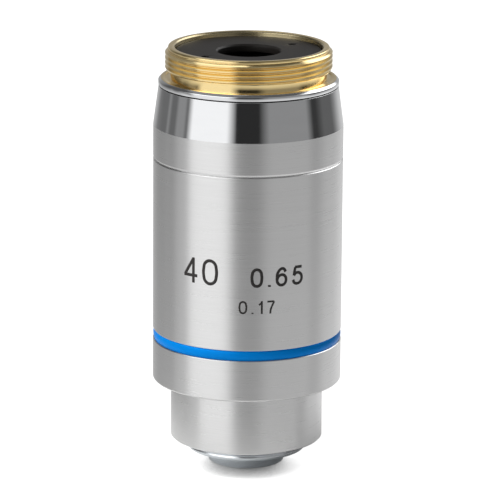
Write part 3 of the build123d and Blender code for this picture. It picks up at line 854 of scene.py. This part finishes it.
def buildWorld():
    # metal and glass mirror the cards, other surfaces get one plain level, and the camera sees white
    world = bpy.data.worlds.new("studioWorld")
    bpy.context.scene.world = world
    world.use_nodes = True
    tree = world.node_tree
    tree.nodes.clear()
    direction = addNode(tree, "ShaderNodeTexCoord").outputs["Generated"]
    split = addNode(tree, "ShaderNodeSeparateXYZ", {0: direction})
    front = addNode(tree, "ShaderNodeMath", {0: split.outputs[1], 1: -1.0}, operation="MULTIPLY").outputs[0]
    azimuth = addNode(tree, "ShaderNodeMath", {0: split.outputs[0], 1: front}, operation="ARCTAN2")
    place = addNode(tree, "ShaderNodeMapRange", {"Value": azimuth.outputs[0], "From Min": -pi,
                                                 "From Max": pi}).outputs[0]
    table, walls, upper, ceiling = [cardRamp(tree, place, studio[name])
                                    for name in ("tableCards", "wallCards", "upperCards", "ceilingCards")]
    height = split.outputs[2]
    level = blendUp(tree, height, studio["wallFoot"], table, walls)
    level = blendUp(tree, height, studio["wallTop"], level, upper)
    level = blendUp(tree, height, studio["ceilingFrom"], level, ceiling)
    path = addNode(tree, "ShaderNodeLightPath")
    mirrored = addNode(tree, "ShaderNodeMath", {0: path.outputs["Is Glossy Ray"],
                                                1: path.outputs["Is Transmission Ray"]}, operation="MAXIMUM")
    unseen = addNode(tree, "ShaderNodeMix", {0: mirrored.outputs[0], 2: studio["plainLevel"], 3: level},
                     data_type="FLOAT")
    seen = addNode(tree, "ShaderNodeMix", {0: path.outputs["Is Camera Ray"], 2: unseen.outputs[0], 3: 1.0},
                   data_type="FLOAT")
    light = addNode(tree, "ShaderNodeBackground", {"Color": (1, 1, 1, 1), "Strength": seen.outputs[0]})
    addNode(tree, "ShaderNodeOutputWorld", {"Surface": light.outputs[0]})


# The floor is white paper. For the camera it glows, less where the object stands close over it, so that a
# shadow
# is painted in to its glow: contactReach is how far that reaches in mm, contactShare the open shares between
# which the painted shadow fades, and contactLean the side it is measured to, which lays it towards the
# camera. The metal mirrors only a sheet of it, which fades out between the two distances in paperEdge, round
# paperMiddle, in mm.
floorPaper = {
    "size": 6.0, "colour": "#E9E9E8", "roughness": 0.9, "glow": 1.0, "seenShare": 0.3,
    "contactReach": 7.0, "contactShare": (0.24, 0.5), "contactLean": (0.0, 0.87, 0.5), "contactSamples": 16,
    "paperMiddle": (-7.0, 0.0, 0.0), "paperEdge": (18.0, 42.0),
}


def buildFloor():
    bpy.ops.object.select_all(action="DESELECT")
    bpy.ops.mesh.primitive_plane_add(size=floorPaper["size"], location=(0, 0, cadBox[0].z))
    floor = bpy.context.object
    floor.name = "studioFloor"
    material, tree, shader = startMaterial("floorPaper")
    shader.inputs["Roughness"].default_value = floorPaper["roughness"]
    shader.inputs["Specular IOR Level"].default_value = 0.0
    shader.inputs["Emission Color"].default_value = (1, 1, 1, 1)
    path = addNode(tree, "ShaderNodeLightPath")
    paperColour = linear(floorPaper["colour"])
    seenColour = [channel * floorPaper["seenShare"] for channel in paperColour[:3]] + [1.0]
    colour = addNode(tree, "ShaderNodeMix", {0: path.outputs["Is Camera Ray"], 6: paperColour, 7: seenColour},
                     data_type="RGBA")
    tree.links.new(colour.outputs[2], shader.inputs["Base Color"])
    lean = addNode(tree, "ShaderNodeCombineXYZ", dict(enumerate(floorPaper["contactLean"])))
    nearContact = addNode(tree, "ShaderNodeAmbientOcclusion", {"Distance": floorPaper["contactReach"] * mm,
                                                               "Normal": lean.outputs[0]},
                          samples=floorPaper["contactSamples"])
    clearShare = addNode(tree, "ShaderNodeMapRange", {"Value": nearContact.outputs["AO"],
                                                      "From Min": floorPaper["contactShare"][0],
                                                      "From Max": floorPaper["contactShare"][1],
                                                      "To Max": floorPaper["glow"]},
                         interpolation_type="SMOOTHSTEP")
    glow = addNode(tree, "ShaderNodeMath", {0: path.outputs["Is Camera Ray"], 1: clearShare.outputs[0]},
                   operation="MULTIPLY")
    tree.links.new(glow.outputs[0], shader.inputs["Emission Strength"])
    place = addNode(tree, "ShaderNodeTexCoord").outputs["Object"]
    away = addNode(tree, "ShaderNodeVectorMath", {0: place, 1: Vector(floorPaper["paperMiddle"]) * mm},
                   operation="DISTANCE").outputs["Value"]
    beyond = addNode(tree, "ShaderNodeMapRange", {"Value": away, "From Min": floorPaper["paperEdge"][0] * mm,
                                                  "From Max": floorPaper["paperEdge"][1] * mm}).outputs[0]
    hidden = addNode(tree, "ShaderNodeMath", {0: path.outputs["Is Glossy Ray"], 1: beyond},
                     operation="MULTIPLY")
    clear = addNode(tree, "ShaderNodeBsdfTransparent")
    paper = addNode(tree, "ShaderNodeMixShader", {0: hidden.outputs[0], 1: shader.outputs[0],
                                                  2: clear.outputs[0]})
    tree.links.new(paper.outputs[0], tree.nodes["Material Output"].inputs["Surface"])
    floor.data.materials.append(material)


# One large soft lamp, high on the camera's left.
softLamp = {"place": (-0.55, -0.2, 0.42), "size": 0.6, "energy": 7.0}


def buildLamp():
    bpy.ops.object.light_add(type="AREA", location=softLamp["place"])
    lamp = bpy.context.object
    lamp.name = "softLamp"
    lamp.data.shape = "DISK"
    lamp.data.size = softLamp["size"]
    lamp.data.energy = softLamp["energy"]
    aim = Vector((0, 0, cadBox[0].z)) - lamp.location
    lamp.rotation_euler = aim.to_track_quat("-Z", "Y").to_euler()
    lamp.visible_glossy = False


# The camera stands where the rings of the photograph put it: 582 mm away, looking 14.3 degrees down.
view = {"place": (0.84, -569.1, 118.7), "pitch": 14.33, "yaw": 0.046, "roll": 0.425, "focalPixels": 3891.9,
        "imagePixels": 500, "sensor": 36.0, "nearest": 0.01}


def buildCamera():
    bpy.ops.object.camera_add()
    camera = bpy.context.object
    camera.name = "photoCamera"
    turn = (Matrix.Rotation(radians(view["yaw"]), 3, "Z")
            @ Matrix.Rotation(radians(90 - view["pitch"]), 3, "X")
            @ Matrix.Rotation(radians(view["roll"]), 3, "Z"))
    camera.location = Vector(view["place"]) * mm
    camera.rotation_euler = turn.to_euler()
    camera.data.sensor_width = view["sensor"]
    camera.data.lens = view["focalPixels"] / view["imagePixels"] * view["sensor"]
    camera.data.clip_start = view["nearest"]
    bpy.context.scene.camera = camera


buildWorld()
buildFloor()
buildLamp()
buildCamera()
bpy.context.scene.view_settings.view_transform = "Standard"
print("studio ready")
